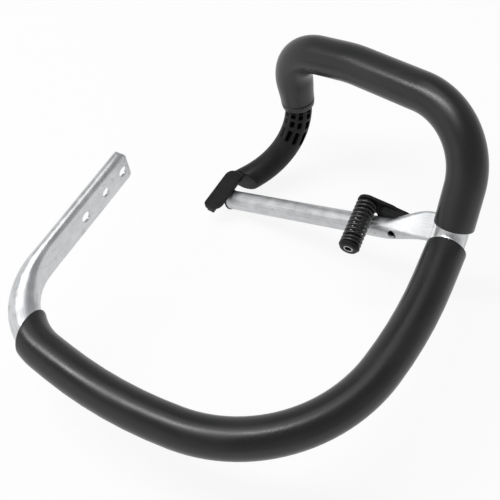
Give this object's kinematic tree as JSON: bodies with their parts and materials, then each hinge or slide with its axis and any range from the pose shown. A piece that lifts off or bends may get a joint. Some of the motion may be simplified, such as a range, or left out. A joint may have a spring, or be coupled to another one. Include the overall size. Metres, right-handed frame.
{
  "type": "chainsaw wraparound handle",
  "caption": "Bent aluminium tube handle with rubber grips, a bolted flat end, a welded strut, a moulded support arm and a sprung side mount.",
  "frame": {"origin": "middle bolt hole of the flattened end, in the middle of its web", "axes": "+X along the flattened end to its tip, +Z normal to the plane of the lower loop, which opens towards -Y"},
  "size_m": [0.3304, 0.2839, 0.176],
  "materials": {
    "tube": "satin, drawn, with light scuffs",
    "grip": "matte, fine speckle",
    "arm": "moulded, fine grain",
    "seat": "moulded, fine grain",
    "spring": "black, semi-gloss",
    "fastener": "zinc plated",
    "bush": "turned",
    "weld": "as welded, rippled"
  },
  "bodies": {
    "handle": {"handle_tube": "tube", "lower_grip": "grip", "upper_grip": "grip", "support_arm": "arm", "spigot_rivet": "fastener", "strut": "tube", "weld_bead": "weld", "foot_screw": "fastener", "spring_seat": "seat", "seat_screw": "fastener", "av_spring": "spring"},
    "spring_end": {"spring_plug": "seat", "plug_bush": "bush"}
  },
  "joints": [
    {"name": "spring_squeeze", "type": "slide", "parent": "handle", "child": "spring_end", "axis": [0.9872, 0.1525, 0.047], "range_m": [0, 0.006], "stiffness_N_per_m": 11000, "deforming": ["av_spring"]}
  ]
}
